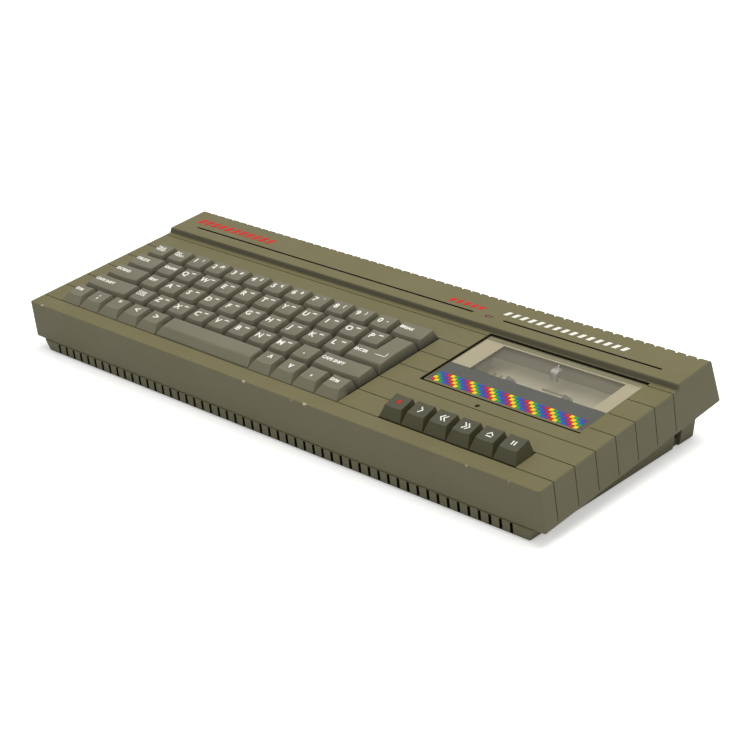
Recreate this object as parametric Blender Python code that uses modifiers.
"""A slab-shaped home computer with a full keyboard and a built-in cassette deck.

The case stands with its base on z = 0 and its width along X.  Almost everything is drawn
in the frame of the sloping top deck, whose origin is the middle of the front top edge:
x across, y up the deck to the rear, z square to the deck.  One empty carries that frame.
"""

import math

import bmesh
import bpy
from mathutils import Matrix, Vector

# Whole case
DECK_TILT = math.radians(4.6)
FRONT_HEIGHT = 0.0368
WALL = 0.0025
EDGE_RADIUS = 0.0008
OVERRUN = 0.004
SEAT_GAP = 0.0003

# Side outline of the upper case, in the deck frame
RIDGE_FACE_RUN = 0.0018
RIDGE_RISE = 0.0034
RIDGE_DEPTH = 0.0341
REAR_FACE_RUN = 0.0059
FRONT_FACE_RUN = 0.0009
FRONT_DROP = 0.0290
REAR_DROP = 0.0262

# Moulded lines and slots of the upper case
GROOVE_WIDTH = 0.0007
GROOVE_DEPTH = 0.0006
GROOVE_COUNT = 7
GROOVE_FOOT = 0.0020
RIDGE_SLOT_WIDTH = 0.0012
RIDGE_SLOT_DEPTH = 0.0012
RIDGE_SLOT_SETBACK = 0.0098
RIDGE_SLOT_END = 0.0185
RIDGE_SLOT_SHORT_OF_WELL = 0.0240
RIDGE_SLOT_INTO_WELL = 0.0005
NOTCH_COUNT = 57
NOTCH_ROW_END = 0.0086
NOTCH_WIDTH = 0.0016
NOTCH_DEPTH = 0.0018
NOTCH_DROP = 0.0055

# Power light
LED_SHORT_OF_WELL = 0.0112
LED_WIDTH = 0.0044
LED_THICKNESS = 0.0022
LED_HEIGHT = 0.0080

# Keyboard well and key field
KEY_FIELD_LEFT = 0.0182
KEY_FIELD_FRONT = 0.0125
KEY_PITCH = 0.0193
KEY_FIELD_TO_LID_WELL = 0.02325
KEY_FIELD_TO_RIDGE = 0.02275
KEY_WELL_MARGIN = 0.0002
CAP_GAP = 0.0008
CAP_SKIRT = 0.0020
CAP_FRONT_HEIGHT = 0.0046
CAP_REAR_HEIGHT = 0.0058
CAP_FRONT_INSET = 0.0042
CAP_EDGE_ROW_INSET = 0.0058
CAP_REAR_INSET = 0.0013
CAP_SIDE_INSET = 0.0021
CAP_WALL = 0.0014
CAP_DISH = 0.0009
CAP_DISH_FACETS = 4
KEY_TRAVEL = 0.0040
STEM_SIDE = 0.0042
STEM_LENGTH = 0.0115
ENTER_ARM_UNITS = 1.0

# Keyboard frame and contact mat
FRAME_TOP_DROP = 0.0070
FRAME_PLATE = 0.0022
FRAME_RIM_WALL = 0.0020
FRAME_RIM_MARGIN = 0.0030
GUIDE_WALL = 0.0013
GUIDE_LENGTH = 0.0024
GUIDE_CLEARANCE = 0.0003
MAT_THICKNESS = 0.0012
DOME_SIDE = 0.0080
DOME_HEIGHT = 0.0010
MAT_INSET = 0.0040
PILLAR_SIDE = 0.0040

# Cassette lid, its well and the deck key well
LID_WELL_WIDTH = 0.1196
LID_WELL_DEPTH = 0.0679
LID_WELL_TO_SIDE = 0.0184
LID_WELL_TO_RIDGE = 0.0005
LID_WELL_BEHIND_KEYS = 0.0295
LID_GAP = 0.0014
LID_REAR_GAP = 0.0017
LID_SINK = 0.0006
LID_THICKNESS = 0.0022
LID_RIM = 0.0022
LID_FRONT_PANEL = 0.0240
LID_PIVOT_SETBACK = 0.0060
LID_PIVOT_DROP = 0.0050
LID_PIN_RADIUS = 0.0012
WINDOW_CLEARANCE = 0.0003
CHEEK_WALL = 0.0018
CHEEK_INSET = 0.0040
CHEEK_DEPTH = 0.0134
CHEEK_FRONT_GAP = 0.0070
CHEEK_LIP = 0.0030
CHEEK_LIP_THICKNESS = 0.0010
CHEEK_TAIL = 0.0024
CHEEK_TAIL_DEPTH = 0.0060
CHEEK_CHAMFER = 0.0060
SPRING_WIDTH = 0.0090
SPRING_THICKNESS = 0.0005
SPRING_DEPTH = 0.0060
SPRING_RUN = 0.0080
MICROPHONE_HOLE_INTO_WELL = 0.0508
MICROPHONE_HOLE_SHORT_OF_WELL = 0.0067
MICROPHONE_HOLE_RADIUS = 0.0011
DECK_KEY_COUNT = 6
DECK_KEYS_LEFT_INSET = 0.0096
DECK_KEYS_RIGHT_INSET = 0.0080
DECK_KEY_FRONT = 0.0125
DECK_KEY_DEPTH = 0.0186
DECK_KEY_FRONT_GAP = 0.0011
DECK_KEY_GAP = 0.0008
DECK_KEY_FRONT_INSET = 0.0070
DECK_KEY_REAR_INSET = 0.0018
DECK_KEY_SIDE_INSET = 0.0018
DECK_KEY_FRONT_HEIGHT = 0.0066
DECK_KEY_REAR_HEIGHT = 0.0088
DECK_KEY_SKIRT = 0.0050
DECK_KEY_DEGREES = 9
KEY_SHAFT_RADIUS = 0.0015
KEY_SHAFT_BEHIND_KEYS = 0.0109
KEY_SHAFT_DROP = 0.0064
KEY_HUB_RADIUS = 0.0030
KEY_HUB_CLEARANCE = 0.00008
KEY_LEVER_HEIGHT = 0.0036
KEY_LEVER_WIDTH = 0.0090
KEY_FINGER_LENGTH = 0.0096
KEY_FINGER_THICKNESS = 0.0022

# Cassette mechanism
CHASSIS_DROP = 0.0168
CHASSIS_PLATE = 0.0016
CHASSIS_MARGIN = 0.0045
CHASSIS_SHORT_OF_SHAFT = 0.0060
CHASSIS_FLANGE = 0.0020
EAR_THICKNESS = 0.0025
EAR_HALF_DEPTH = 0.0035
KEY_EAR_GAP = 0.0030
SPINDLE_SPACING = 0.0425
SPINDLE_INTO_WELL = 0.0368
SPINDLE_TOP_DROP = 0.0055
SPINDLE_SHAFT_RADIUS = 0.0010
SPINDLE_BODY_RADIUS = 0.0024
SPINDLE_REEL_RADIUS = 0.0090
SPINDLE_REEL_HEIGHT = 0.0014
SPINDLE_FIN = 0.0032
SPINDLE_FIN_WIDTH = 0.0009
SPINDLE_FIN_COUNT = 3
RUNNING_CLEARANCE = 0.00008
CAPSTAN_RADIUS = 0.0010
CAPSTAN_TOP_DROP = 0.0070
CAPSTAN_OFFSET = 0.0300
CAPSTAN_INTO_WELL = 0.0069
FLYWHEEL_RADIUS = 0.0150
FLYWHEEL_THICKNESS = 0.0026
FLYWHEEL_GAP = 0.0010
MOTOR_RADIUS = 0.0085
MOTOR_LENGTH = 0.0150
MOTOR_SHAFT_RADIUS = 0.0008
MOTOR_SIDE_INSET = 0.0163
MOTOR_INTO_WELL = 0.0414
MOTOR_BRACKET = 0.0010
MOTOR_BRACKET_GAP = 0.0006
MOTOR_BRACKET_MARGIN = 0.0010
MOTOR_WEB = 0.0015
PULLEY_RADIUS = 0.0036
BELT_THICKNESS = 0.0008
BELT_GAP = 0.0003
BRIDGE_GAP = 0.0003
BRIDGE_PLATE = 0.0012
BRIDGE_TAB_MARGIN = 0.0053
BRIDGE_ROLLER_MARGIN = 0.0050
BRIDGE_SHORT_OF_WELL = 0.0136
BRIDGE_DEPTH = 0.0150
BRIDGE_TAB_WIDTH = 0.0100
BRIDGE_TAB_THICKNESS = 0.0015
BRIDGE_TAB_HEIGHT = 0.0060
BRIDGE_TAB_GAP = 0.0005
HEAD_WIDTH = 0.0120
HEAD_DEPTH = 0.0060
HEAD_HEIGHT = 0.0080
ROLLER_RADIUS = 0.0045
ROLLER_LENGTH = 0.0070
ROLLER_PIN_RADIUS = 0.0009

# Lower case
TRAY_INSET_TOP = 0.0060
TRAY_INSET_BASE = 0.0100
TRAY_FRONT_SETBACK = 0.0012
TRAY_REAR_SETBACK = 0.0120
TRAY_CLEARANCE = 0.0010
SLOT_COUNT = 53
SLOT_ROW_END = 0.0224
SLOT_WIDTH = 0.0020
SLOT_TOP_GAP = 0.0020
FOOT_SIDE = 0.0110
FOOT_MARGIN = 0.0100
LEG_NOTCH_SETBACK = 0.0150
LEG_NOTCH_WIDTH = 0.0070
LEG_NOTCH_DEPTH = 0.0060
POST_RADIUS = 0.0026
POST_MARGIN = 0.0165
POST_SETBACK = 0.0110
POST_CORNER_SETBACK = 0.0064

# Boards and sockets
BOARD_DROP = 0.0206
BOARD_THICKNESS = 0.0016
BOARD_FRONT = 0.0300
BOARD_LEFT = 0.0160
BOARD_TO_LID_WELL = 0.0220
BOARD_REAR_GAP = 0.0010
SOCKET_GAP = 0.0004
CUTOUT_MARGIN = 0.0006
DIN_WIDTH = 0.0150
DIN_HEIGHT = 0.0130
DIN_DEPTH = 0.0120
DIN_FACE_RADIUS = 0.0058
DIN_FACE_DEPTH = 0.0012
DIN_COUNT = 3
DIN_FIRST_PLACE_SHARE = 0.7273
DIN_PITCH_SHARE = 0.0909
POWER_SIDE = 0.0110
POWER_BORE_RADIUS = 0.0040
POWER_PLACE_SHARE = 0.9697
EDGE_SLOT_WIDTH = 0.0720
EDGE_SLOT_HEIGHT = 0.0100
EDGE_SLOT_BELOW = 0.0040
EDGE_SLOT_PLACE_SHARE = 0.4508
EDGE_TONGUE_WIDTH = 0.0640
JOYSTICK_LENGTH = 0.0310
JOYSTICK_HEIGHT = 0.0110
JOYSTICK_DEPTH = 0.0180
JOYSTICK_BORE_LENGTH = 0.0190
JOYSTICK_BORE_HEIGHT = 0.0080
JOYSTICK_BORE_DEPTH = 0.0060
JOYSTICK_SETBACK = 0.0560
JOYSTICK_PITCH = 0.0360
CHIP_WIDTH = 0.0140
CHIP_LENGTH = 0.0340
CHIP_HEIGHT = 0.0030
CHIP_COUNT = 5
CHIP_SHORT_OF_RIDGE = 0.0170
MODULATOR_WIDTH = 0.0560
MODULATOR_DEPTH = 0.0280
MODULATOR_HEIGHT = 0.0180
MODULATOR_PLACE_SHARE = 0.1288
MODULATOR_SOCKET_RADIUS = 0.0042
MODULATOR_SOCKET_LIFT = 0.0080
RESET_SIZE = 0.0070
RESET_LENGTH = 0.0090
RESET_INSET = 0.0006
RESET_PAST_RIDGE = 0.0012
RESET_DROP = 0.0160
RESET_COLLAR = 0.0010
RESET_COLLAR_WIDTH = 0.0020

ROUND_SEGMENTS = 20
SMALL_SEGMENTS = 12
MERGE_DISTANCE = 0.00001

# Keys of each row from the rear of the board, as name and width in key units
KEY_ROWS = [
    [("video", 1), ("inverse", 1)] + [(digit, 1) for digit in "1234567890"] + [("break", 1.5)],
    [("delete", 1.5), ("graph", 1)] + [(letter, 1) for letter in "qwertyuiop"],
    [("extend", 1.75), ("edit", 1)] + [(letter, 1) for letter in "asdfghjkl"] + [("enter", 1.75)],
    [("shift_left", 2.25), ("lock", 1)] + [(letter, 1) for letter in "zxcvbnm"]
    + [("full_stop", 1), ("shift_right", 2.25)],
    [("symbol_left", 1), ("semicolon", 1), ("quote", 1), ("cursor_left", 1), ("cursor_right", 1),
     ("space", 4.5), ("cursor_up", 1), ("cursor_down", 1), ("comma", 1), ("symbol_right", 1)],
]
FIXED_KEY_ROWS = 2
DECK_KEY_NAMES = ["record", "play", "rewind", "forward", "stop", "pause"]

# Width and depth of the case, worked out from what it holds
ROW_COUNT = len(KEY_ROWS)
FIELD_UNITS = sum(units for _, units in KEY_ROWS[-1])
LID_WELL_LEFT = KEY_FIELD_LEFT + FIELD_UNITS * KEY_PITCH + KEY_FIELD_TO_LID_WELL
CASE_WIDTH = LID_WELL_LEFT + LID_WELL_WIDTH + LID_WELL_TO_SIDE
HALF_WIDTH = CASE_WIDTH / 2
LID_WELL_FRONT = DECK_KEY_FRONT + DECK_KEY_DEPTH + LID_WELL_BEHIND_KEYS
DECK_DEPTH = LID_WELL_FRONT + LID_WELL_DEPTH + LID_WELL_TO_RIDGE
ROW_PITCH = (DECK_DEPTH - KEY_FIELD_TO_RIDGE - KEY_FIELD_FRONT) / ROW_COUNT

# Places and pitches that follow from the sizes above
RIDGE_FRONT = DECK_DEPTH + RIDGE_FACE_RUN
RIDGE_REAR = RIDGE_FRONT + RIDGE_DEPTH
CASE_REAR = RIDGE_REAR + REAR_FACE_RUN
NOTCH_PITCH = (CASE_WIDTH - 2 * NOTCH_ROW_END) / (NOTCH_COUNT - 1)
SLOT_PITCH = (CASE_WIDTH - 2 * SLOT_ROW_END) / (SLOT_COUNT - 1)
RIDGE_SLOT_LEFT_END = LID_WELL_LEFT - RIDGE_SLOT_SHORT_OF_WELL
RIDGE_SLOT_RIGHT_START = LID_WELL_LEFT + RIDGE_SLOT_INTO_WELL
LED_FROM_LEFT = LID_WELL_LEFT - LED_SHORT_OF_WELL
RESET_SETBACK = RIDGE_FRONT + RESET_PAST_RIDGE
FIELD_LEFT = KEY_FIELD_LEFT - HALF_WIDTH
FIELD_RIGHT = FIELD_LEFT + FIELD_UNITS * KEY_PITCH
FIELD_REAR = KEY_FIELD_FRONT + ROW_COUNT * ROW_PITCH
STEM_FOOT = CAP_SKIRT + STEM_LENGTH
MAT_TOP = STEM_FOOT + KEY_TRAVEL + SEAT_GAP + DOME_HEIGHT
MICROPHONE_HOLE_FROM_LEFT = LID_WELL_LEFT + MICROPHONE_HOLE_INTO_WELL
MICROPHONE_HOLE_SETBACK = LID_WELL_FRONT - MICROPHONE_HOLE_SHORT_OF_WELL
DECK_KEY_LEFT = LID_WELL_LEFT + DECK_KEYS_LEFT_INSET
DECK_KEY_PITCH = (LID_WELL_WIDTH - DECK_KEYS_LEFT_INSET - DECK_KEYS_RIGHT_INSET) / DECK_KEY_COUNT
KEY_SHAFT_SETBACK = DECK_KEY_FRONT + DECK_KEY_DEPTH + KEY_SHAFT_BEHIND_KEYS
LID_LEFT = LID_WELL_LEFT - HALF_WIDTH + LID_GAP
LID_RIGHT = LID_WELL_LEFT - HALF_WIDTH + LID_WELL_WIDTH - LID_GAP
LID_FRONT = LID_WELL_FRONT + LID_GAP
LID_REAR = LID_WELL_FRONT + LID_WELL_DEPTH - LID_REAR_GAP
LID_MIDDLE = (LID_LEFT + LID_RIGHT) / 2
LID_UNDERSIDE = -LID_SINK - LID_THICKNESS
LID_PIVOT = Vector((LID_MIDDLE, LID_REAR - LID_PIVOT_SETBACK, -LID_PIVOT_DROP))
KEY_SHAFT = Vector((0, KEY_SHAFT_SETBACK, -KEY_SHAFT_DROP))
CHASSIS_LEFT = LID_WELL_LEFT - HALF_WIDTH - CHASSIS_MARGIN
CHASSIS_RIGHT = LID_WELL_LEFT + LID_WELL_WIDTH - HALF_WIDTH + CHASSIS_MARGIN
CHASSIS_REAR = LID_WELL_FRONT + LID_WELL_DEPTH + CHASSIS_FLANGE
CHASSIS_BASE = -CHASSIS_DROP - CHASSIS_PLATE
CHASSIS_FRONT = KEY_SHAFT_SETBACK - CHASSIS_SHORT_OF_SHAFT
SPINDLE_SETBACK = LID_WELL_FRONT + SPINDLE_INTO_WELL
CAPSTAN_SETBACK = LID_WELL_FRONT + CAPSTAN_INTO_WELL
MOTOR_OFFSET = LID_WELL_WIDTH / 2 - MOTOR_SIDE_INSET
MOTOR_SETBACK = LID_WELL_FRONT + MOTOR_INTO_WELL
BRIDGE_FRONT = LID_WELL_FRONT - BRIDGE_SHORT_OF_WELL
BOARD_RIGHT = LID_WELL_LEFT - BOARD_TO_LID_WELL
BOARD_WIDTH = BOARD_RIGHT - BOARD_LEFT
MODULATOR_FROM_LEFT = BOARD_LEFT + MODULATOR_PLACE_SHARE * BOARD_WIDTH
EDGE_SLOT_FROM_LEFT = BOARD_LEFT + EDGE_SLOT_PLACE_SHARE * BOARD_WIDTH
DIN_FROM_LEFT = BOARD_LEFT + DIN_FIRST_PLACE_SHARE * BOARD_WIDTH
DIN_PITCH = DIN_PITCH_SHARE * BOARD_WIDTH
POWER_FROM_LEFT = BOARD_LEFT + POWER_PLACE_SHARE * BOARD_WIDTH
CHIP_PITCH = (BOARD_WIDTH - CHIP_LENGTH) / CHIP_COUNT
CHIP_SETBACK = DECK_DEPTH - CHIP_SHORT_OF_RIDGE


def underside_at(setback):
    """Height of the upper case's lower edge, in the deck frame, at a distance up the deck."""
    share = (setback - FRONT_FACE_RUN) / (CASE_REAR - FRONT_FACE_RUN)
    return -FRONT_DROP + share * (FRONT_DROP - REAR_DROP)


def offset_path(path, distance):
    """Move an open outline sideways, to its right, with mitred corners."""
    lines = []
    for start, end in zip(path, path[1:]):
        along = (Vector(end) - Vector(start)).normalized()
        side = Vector((along.y, -along.x)) * distance
        lines.append((Vector(start) + side, along))
    moved = [lines[0][0]]
    for (point, along), (next_point, next_along) in zip(lines, lines[1:]):
        cross = along.x * next_along.y - along.y * next_along.x
        apart = next_point - point
        moved.append(point + along * ((apart.x * next_along.y - apart.y * next_along.x) / cross))
    last_along = lines[-1][1]
    moved.append(Vector(path[-1]) + Vector((last_along.y, -last_along.x)) * distance)
    return [tuple(point) for point in moved]


def run_on(start, end, extra):
    """The end of a line made longer by an extra length."""
    along = (Vector(end) - Vector(start)).normalized()
    return tuple(Vector(end) + along * extra)


def case_outline():
    """Side outline of the upper case from its front lower edge over the top to the rear."""
    return [
        (FRONT_FACE_RUN, -FRONT_DROP),
        (0, 0),
        (DECK_DEPTH, 0),
        (RIDGE_FRONT, RIDGE_RISE),
        (RIDGE_REAR, RIDGE_RISE),
        (CASE_REAR, -REAR_DROP),
    ]


class Workshop:
    """The collections, materials and deck frame that every piece is made in."""

    def __init__(self):
        for old in list(bpy.data.objects):
            bpy.data.objects.remove(old, do_unlink=True)
        self.parts = self.collection("home_computer")
        self.guides = self.collection("cutters")
        self.materials = {}
        self.deck = bpy.data.objects.new("deck_frame", None)
        self.parts.objects.link(self.deck)
        self.deck.rotation_euler.x = DECK_TILT
        self.deck.location = deck_origin()

    def collection(self, name):
        """A new collection in the scene."""
        made = bpy.data.collections.new(name)
        bpy.context.scene.collection.children.link(made)
        return made

    def material(self, name, color, roughness, metallic=0.0, alpha=1.0):
        """A plain material with one colour, made once under its name."""
        if name not in self.materials:
            made = bpy.data.materials.new(name)
            made.use_nodes = True
            shader = made.node_tree.nodes["Principled BSDF"]
            shader.inputs["Base Color"].default_value = (*color, 1.0)
            shader.inputs["Roughness"].default_value = roughness
            shader.inputs["Metallic"].default_value = metallic
            shader.inputs["Alpha"].default_value = alpha
            self.materials[name] = made
        return self.materials[name]

    def piece(self, name, mesh, material, origin=(0, 0, 0)):
        """A part of the computer, drawn in the deck frame, with its origin at a point of it."""
        made = bpy.data.objects.new(name, mesh)
        mesh.materials.append(material)
        mesh.transform(Matrix.Translation(-Vector(origin)))
        self.parts.objects.link(made)
        made.parent = self.deck
        made.location = origin
        return made

    def guide(self, name, mesh):
        """A hidden solid that cuts or joins another one."""
        made = bpy.data.objects.new(name, mesh)
        self.guides.objects.link(made)
        made.parent = self.deck
        made.hide_render = True
        made.display_type = "WIRE"
        return made

    def combine(self, target, mesh, operation):
        """Cut a solid from a piece, or join one to it."""
        guide = self.guide(f"{target.name}_{operation.lower()}_{len(target.modifiers)}", mesh)
        modifier = target.modifiers.new(guide.name, "BOOLEAN")
        modifier.operation = operation
        modifier.solver = "EXACT"
        modifier.object = guide

    def cut(self, target, mesh):
        """Take a solid away from a piece."""
        self.combine(target, mesh, "DIFFERENCE")

    def join(self, target, mesh):
        """Add a solid to a piece."""
        self.combine(target, mesh, "UNION")

    def round_edges(self, target, radius, segments=2):
        """Round the sharp edges of a piece."""
        bevel = target.modifiers.new("rounded_edges", "BEVEL")
        bevel.width = radius
        bevel.segments = segments
        bevel.limit_method = "ANGLE"


def deck_origin():
    """Where the middle of the front top edge lies, with the case centred on the origin."""
    front = min(0.0, FRONT_FACE_RUN * math.cos(DECK_TILT) + FRONT_DROP * math.sin(DECK_TILT))
    rear = CASE_REAR * math.cos(DECK_TILT) + REAR_DROP * math.sin(DECK_TILT)
    return Vector((0, -(front + rear) / 2, FRONT_HEIGHT))


def finished(bm, name):
    """Turn a bmesh into a mesh with its faces pointing out."""
    bmesh.ops.recalc_face_normals(bm, faces=bm.faces)
    mesh = bpy.data.meshes.new(name)
    bm.to_mesh(mesh)
    bm.free()
    return mesh


def add_block(bm, low, high):
    """Add a box between two corners."""
    size = Vector(high) - Vector(low)
    middle = (Vector(high) + Vector(low)) / 2
    place = Matrix.Translation(middle) @ Matrix.Diagonal((*size, 1))
    bmesh.ops.create_cube(bm, size=1, matrix=place)


def blocks(name, corners):
    """Several separate boxes as one mesh."""
    bm = bmesh.new()
    for low, high in corners:
        add_block(bm, low, high)
    return finished(bm, name)


def block(name, low, high):
    """One box."""
    return blocks(name, [(low, high)])


def prism(name, outline, start, end, along="X"):
    """An outline drawn out along one axis: YZ points along X, XZ along Y or XY along Z."""
    bm = bmesh.new()
    add_prism(bm, outline, start, end, along)
    return finished(bm, name)


def add_prism(bm, outline, start, end, along="X"):
    """Add an outline drawn out along one axis."""
    def place(point, distance):
        first, second = point
        if along == "X":
            return (distance, first, second)
        if along == "Y":
            return (first, distance, second)
        return (first, second, distance)

    face = bm.faces.new([bm.verts.new(place(point, start)) for point in outline])
    drawn = bmesh.ops.extrude_face_region(bm, geom=[face])
    moved = [item for item in drawn["geom"] if isinstance(item, bmesh.types.BMVert)]
    bmesh.ops.translate(bm, verts=moved, vec=Vector(place((0, 0), end - start)))


def rods(name, places, radius, start, end, along="Z", segments=SMALL_SEGMENTS):
    """Round bars of one radius at several places, along one axis."""
    bm = bmesh.new()
    turn = {"X": Matrix.Rotation(math.pi / 2, 4, "Y"),
            "Y": Matrix.Rotation(math.pi / 2, 4, "X"),
            "Z": Matrix.Identity(4)}[along]
    axis = "XYZ".index(along)
    for place in places:
        middle = Vector(place)
        middle[axis] = (start + end) / 2
        bmesh.ops.create_cone(bm, cap_ends=True, segments=segments, radius1=radius,
                              radius2=radius, depth=abs(end - start),
                              matrix=Matrix.Translation(middle) @ turn)
    return finished(bm, name)


def tapered_block(name, base, top, base_height, top_height):
    """A block whose base and top rectangles differ, each as (low x, low y, high x, high y)."""
    bm = bmesh.new()
    bmesh.ops.create_cube(bm, size=1)
    for vert in bm.verts:
        low_x, low_y, high_x, high_y = top if vert.co.z > 0 else base
        vert.co.x = high_x if vert.co.x > 0 else low_x
        vert.co.y = high_y if vert.co.y > 0 else low_y
        vert.co.z = top_height(vert.co.y) if vert.co.z > 0 else base_height(vert.co.y)
    return finished(bm, name)


def turned(shop, name, profile, material, origin, steps=ROUND_SEGMENTS):
    """A round piece from radius and height points, top to bottom, that start and end on its axis."""
    mesh = bpy.data.meshes.new(name)
    points = [(radius, 0, height) for radius, height in profile]
    mesh.from_pydata(points, [(i, i + 1) for i in range(len(points) - 1)], [])
    made = bpy.data.objects.new(name, mesh)
    mesh.materials.append(material)
    shop.parts.objects.link(made)
    made.parent = shop.deck
    made.location = origin
    screw = made.modifiers.new("turned", "SCREW")
    screw.axis = "Z"
    screw.steps = steps
    screw.render_steps = steps
    screw.use_merge_vertices = True
    screw.merge_threshold = MERGE_DISTANCE
    return made


def key_cap(name, left, right, front, rear, front_inset, dish):
    """A key: a sloped cap with a dished top, hollow below, round a square stem."""
    bm = bmesh.new()
    skirt = [(left, front), (right, front), (right, rear), (left, rear)]
    top_left, top_right = left + CAP_SIDE_INSET, right - CAP_SIDE_INSET

    def edge_points(base_y, inset, height):
        """Points across one edge of the top, on the slope of the face below it."""
        points = []
        for step in range(CAP_DISH_FACETS + 1):
            share = 2 * step / CAP_DISH_FACETS - 1
            z = height - dish * (1 - share * share)
            y = base_y + inset * z / height
            points.append(bm.verts.new((top_left + (top_right - top_left) * (share + 1) / 2, y, z)))
        return points

    front_edge = edge_points(front, front_inset, CAP_FRONT_HEIGHT)
    rear_edge = edge_points(rear, -CAP_REAR_INSET, CAP_REAR_HEIGHT)
    deck_ring = [bm.verts.new((x, y, 0)) for x, y in skirt]
    base_ring = [bm.verts.new((x, y, -CAP_SKIRT)) for x, y in skirt]
    for (a, b), (c, d) in zip(zip(front_edge, front_edge[1:]), zip(rear_edge, rear_edge[1:])):
        bm.faces.new((a, b, d, c))
    bm.faces.new([deck_ring[0], deck_ring[1]] + front_edge[::-1])
    bm.faces.new([deck_ring[2], deck_ring[3]] + rear_edge)
    bm.faces.new((deck_ring[3], deck_ring[0], front_edge[0], rear_edge[0]))
    bm.faces.new((deck_ring[1], deck_ring[2], rear_edge[-1], front_edge[-1]))
    middle = Vector(((left + right) / 2, (front + rear) / 2))
    hollow = [(left + CAP_WALL, front + CAP_WALL), (right - CAP_WALL, front + CAP_WALL),
              (right - CAP_WALL, rear - CAP_WALL), (left + CAP_WALL, rear - CAP_WALL)]
    roof = CAP_FRONT_HEIGHT - CAP_DISH - CAP_WALL
    roof_inset = CAP_FRONT_INSET
    roof_ring = [(left + CAP_WALL + CAP_SIDE_INSET, front + CAP_WALL + roof_inset),
                 (right - CAP_WALL - CAP_SIDE_INSET, front + CAP_WALL + roof_inset),
                 (right - CAP_WALL - CAP_SIDE_INSET, rear - CAP_WALL - CAP_REAR_INSET),
                 (left + CAP_WALL + CAP_SIDE_INSET, rear - CAP_WALL - CAP_REAR_INSET)]
    half = STEM_SIDE / 2
    stem = [(middle.x - half, middle.y - half), (middle.x + half, middle.y - half),
            (middle.x + half, middle.y + half), (middle.x - half, middle.y + half)]
    rings = [deck_ring, base_ring]
    for ring, z in ((hollow, -CAP_SKIRT), (roof_ring, roof), (stem, roof), (stem, -STEM_FOOT)):
        rings.append([bm.verts.new((x, y, z)) for x, y in ring])
    for upper, lower in zip(rings, rings[1:]):
        for corner in range(4):
            after = (corner + 1) % 4
            bm.faces.new((upper[corner], upper[after], lower[after], lower[corner]))
    bm.faces.new(rings[-1])
    return finished(bm, name)


def key_places():
    """Each key of the field as row, name, left, right, front and rear, in the deck frame."""
    for row, keys in enumerate(KEY_ROWS):
        left = FIELD_LEFT
        front = KEY_FIELD_FRONT + (ROW_COUNT - 1 - row) * ROW_PITCH
        for name, units in keys:
            right = left + units * KEY_PITCH
            yield (row, name, left + CAP_GAP / 2, right - CAP_GAP / 2,
                   front + CAP_GAP / 2, front + ROW_PITCH - CAP_GAP / 2)
            left = right


def deck_key_left(index):
    """Left side of a deck key's place in its row."""
    return DECK_KEY_LEFT - HALF_WIDTH + index * DECK_KEY_PITCH


def rear_wall_inside(height):
    """Inner face of the rear wall, as a distance up the deck, at a height."""
    slope = REAR_FACE_RUN / (REAR_DROP + RIDGE_RISE)
    return RIDGE_REAR + slope * (RIDGE_RISE - height) - WALL * math.hypot(1, slope)


def floor_at(setback, height):
    """Height in the deck frame of a level plane, at a distance up the deck."""
    return (height - FRONT_HEIGHT - setback * math.sin(DECK_TILT)) / math.cos(DECK_TILT)


def din_places():
    """Middle of each round socket along the rear wall."""
    return [DIN_FROM_LEFT - HALF_WIDTH + index * DIN_PITCH for index in range(DIN_COUNT)]


def joystick_places():
    """Middle of each joystick port along the left wall."""
    return [JOYSTICK_SETBACK + index * JOYSTICK_PITCH for index in range(2)]


def post_places():
    """Middles of the screw posts that hold the two case halves together."""
    across, rear = HALF_WIDTH - POST_MARGIN, RIDGE_REAR - POST_SETBACK
    between = (FIELD_RIGHT + CHASSIS_LEFT) / 2
    return [(-across, POST_CORNER_SETBACK, 0), (-across, rear, 0), (between, POST_SETBACK, 0),
            (between, rear, 0), (across, POST_CORNER_SETBACK, 0), (across, rear, 0)]


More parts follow.
